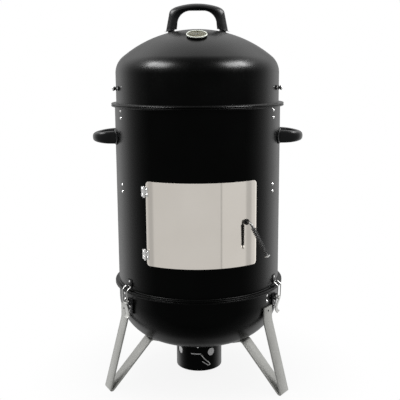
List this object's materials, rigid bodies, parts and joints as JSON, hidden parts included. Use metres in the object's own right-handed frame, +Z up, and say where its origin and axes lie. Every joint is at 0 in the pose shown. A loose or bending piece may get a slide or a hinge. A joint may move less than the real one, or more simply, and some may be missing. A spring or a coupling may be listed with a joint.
{
  "type": "vertical water smoker",
  "caption": "Upright charcoal water smoker: domed lid, barrel with hinged stainless access door, fire bowl on folded strap legs, and an inlet cup with a turning damper.",
  "frame": {"origin": "on the smoker's vertical axis at floor level, midway between the three feet", "axes": "+Z up along the barrel's axis; -Y towards the access door; +X towards the right-hand side handle seen from the door"},
  "size_m": [0.518, 0.4699, 0.937],
  "materials": {
    "black_enamel": "semi-gloss enamel",
    "black_plastic": "satin moulded",
    "chrome": "bright plated",
    "bright_wire": "drawn and plated",
    "door_stainless": "brushed",
    "leg_steel": "satin zinc plated",
    "plated_steel": "zinc plated",
    "charcoal_wire": "heat dulled",
    "black_steel": "black oxide",
    "pan_enamel": "gloss porcelain enamel",
    "dial_face": "printed",
    "needle_paint": "satin",
    "lens_glass": "polished",
    "sleeve_aluminium": "satin"
  },
  "bodies": {
    "body": {"barrel": "black_enamel", "side_handle_left": "black_plastic", "side_handle_right": "black_plastic", "side_handle_plates": "black_plastic", "side_handle_screws": "chrome", "grate_brackets_upper": "plated_steel", "grate_brackets_lower": "plated_steel", "grate_bracket_rivets": "chrome", "cooking_grate_upper": "bright_wire", "cooking_grate_lower": "bright_wire", "water_pan": "pan_enamel", "hinge_fixed_leaves": "chrome", "hinge_pins": "chrome", "hinge_fixed_screws": "chrome", "latch_catches": "black_steel", "latch_catch_rivets": "chrome", "fire_bowl": "black_enamel", "charcoal_grate": "charcoal_wire", "charcoal_brackets": "plated_steel", "charcoal_bracket_rivets": "chrome", "leg_left": "leg_steel", "leg_right": "leg_steel", "leg_rear": "leg_steel", "leg_screws": "black_steel", "latch_bases": "black_steel", "latch_base_rivets": "chrome", "inlet_cup": "black_enamel", "inlet_cup_screws": "chrome"},
    "lid": {"lid_dome": "black_enamel", "lid_handle": "black_plastic", "lid_handle_spacers": "black_plastic", "lid_handle_screws": "chrome", "thermometer_case": "chrome", "thermometer_gasket": "black_plastic", "thermometer_dial": "dial_face", "thermometer_lens": "lens_glass", "thermometer_stem": "plated_steel", "thermometer_nut": "plated_steel", "hanging_rails": "bright_wire", "rail_washers": "black_plastic", "rail_nuts": "chrome", "exhaust_rivet": "chrome"},
    "needle": {"thermometer_needle": "needle_paint"},
    "exhaust": {"exhaust_damper": "black_enamel"},
    "door": {"door_panel": "door_stainless", "hinge_door_leaves": "chrome", "hinge_door_screws": "chrome", "door_handle_bush": "black_plastic"},
    "door_handle": {"door_handle_rod": "chrome", "door_handle_coil": "black_steel", "door_handle_cap": "chrome", "door_tongue": "plated_steel"},
    "inlet_damper": {"damper_sleeve": "sleeve_aluminium", "damper_lever": "bright_wire"},
    "latch_lever_left": {"latch_lever_left": "chrome"},
    "latch_bail_left": {"latch_bail_left": "bright_wire"},
    "latch_lever_right": {"latch_lever_right": "chrome"},
    "latch_bail_right": {"latch_bail_right": "bright_wire"},
    "latch_lever_rear": {"latch_lever_rear": "chrome"},
    "latch_bail_rear": {"latch_bail_rear": "bright_wire"}
  },
  "joints": [
    {"name": "lid_lift", "type": "slide", "parent": "body", "child": "lid", "axis": [0, 0, 1], "range_m": [0, 0.3]},
    {"name": "needle_turn", "type": "hinge", "parent": "lid", "child": "needle", "pos_m": [0, -0.103, 0.85774], "axis": [0, 0.3614, -0.9324], "range_deg": [0, 270]},
    {"name": "exhaust_turn", "type": "hinge", "parent": "lid", "child": "exhaust", "pos_m": [0, 0.09748, 0.85981], "axis": [0, 0.342, 0.9397], "range_deg": [0, 60]},
    {"name": "door_swing", "type": "hinge", "parent": "body", "child": "door", "pos_m": [-0.12342, -0.16618, 0.4325], "axis": [0, 0, -1], "range_deg": [0, 120]},
    {"name": "door_handle_turn", "type": "hinge", "parent": "door", "child": "door_handle", "pos_m": [0.11075, -0.17251, 0.4365], "axis": [-0.5402, 0.8415, 0], "range_deg": [0, 90]},
    {"name": "damper_turn", "type": "hinge", "parent": "body", "child": "inlet_damper", "pos_m": [0, 0, 0.06], "axis": [0, 0, -1], "range_deg": [0, 25]},
    {"name": "latch_lever_left_turn", "type": "hinge", "parent": "body", "child": "latch_lever_left", "pos_m": [-0.17056, -0.12166, 0.229], "axis": [-0.5807, 0.8141, 0], "range_deg": [0, 90]},
    {"name": "latch_bail_left_turn", "type": "hinge", "parent": "latch_lever_left", "child": "latch_bail_left", "pos_m": [-0.17707, -0.1263, 0.227], "axis": [-0.5807, 0.8141, 0], "range_deg": [-98.2, 0]},
    {"name": "latch_lever_right_turn", "type": "hinge", "parent": "body", "child": "latch_lever_right", "pos_m": [0.19064, -0.08688, 0.229], "axis": [-0.4147, -0.91, 0], "range_deg": [0, 90]},
    {"name": "latch_bail_right_turn", "type": "hinge", "parent": "latch_lever_right", "child": "latch_bail_right", "pos_m": [0.19792, -0.0902, 0.227], "axis": [-0.4147, -0.91, 0], "range_deg": [-98.2, 0]},
    {"name": "latch_lever_rear_turn", "type": "hinge", "parent": "body", "child": "latch_lever_rear", "pos_m": [-0.02008, 0.20854, 0.229], "axis": [0.9954, 0.0958, 0], "range_deg": [0, 90]},
    {"name": "latch_bail_rear_turn", "type": "hinge", "parent": "latch_lever_rear", "child": "latch_bail_rear", "pos_m": [-0.02085, 0.2165, 0.227], "axis": [0.9954, 0.0958, 0], "range_deg": [-98.2, 0]}
  ],
  "couplings": [
    {"joint": "latch_bail_left_turn", "follows": "latch_lever_left_turn", "ratio": -1.09},
    {"joint": "latch_bail_right_turn", "follows": "latch_lever_right_turn", "ratio": -1.09},
    {"joint": "latch_bail_rear_turn", "follows": "latch_lever_rear_turn", "ratio": -1.09}
  ]
}
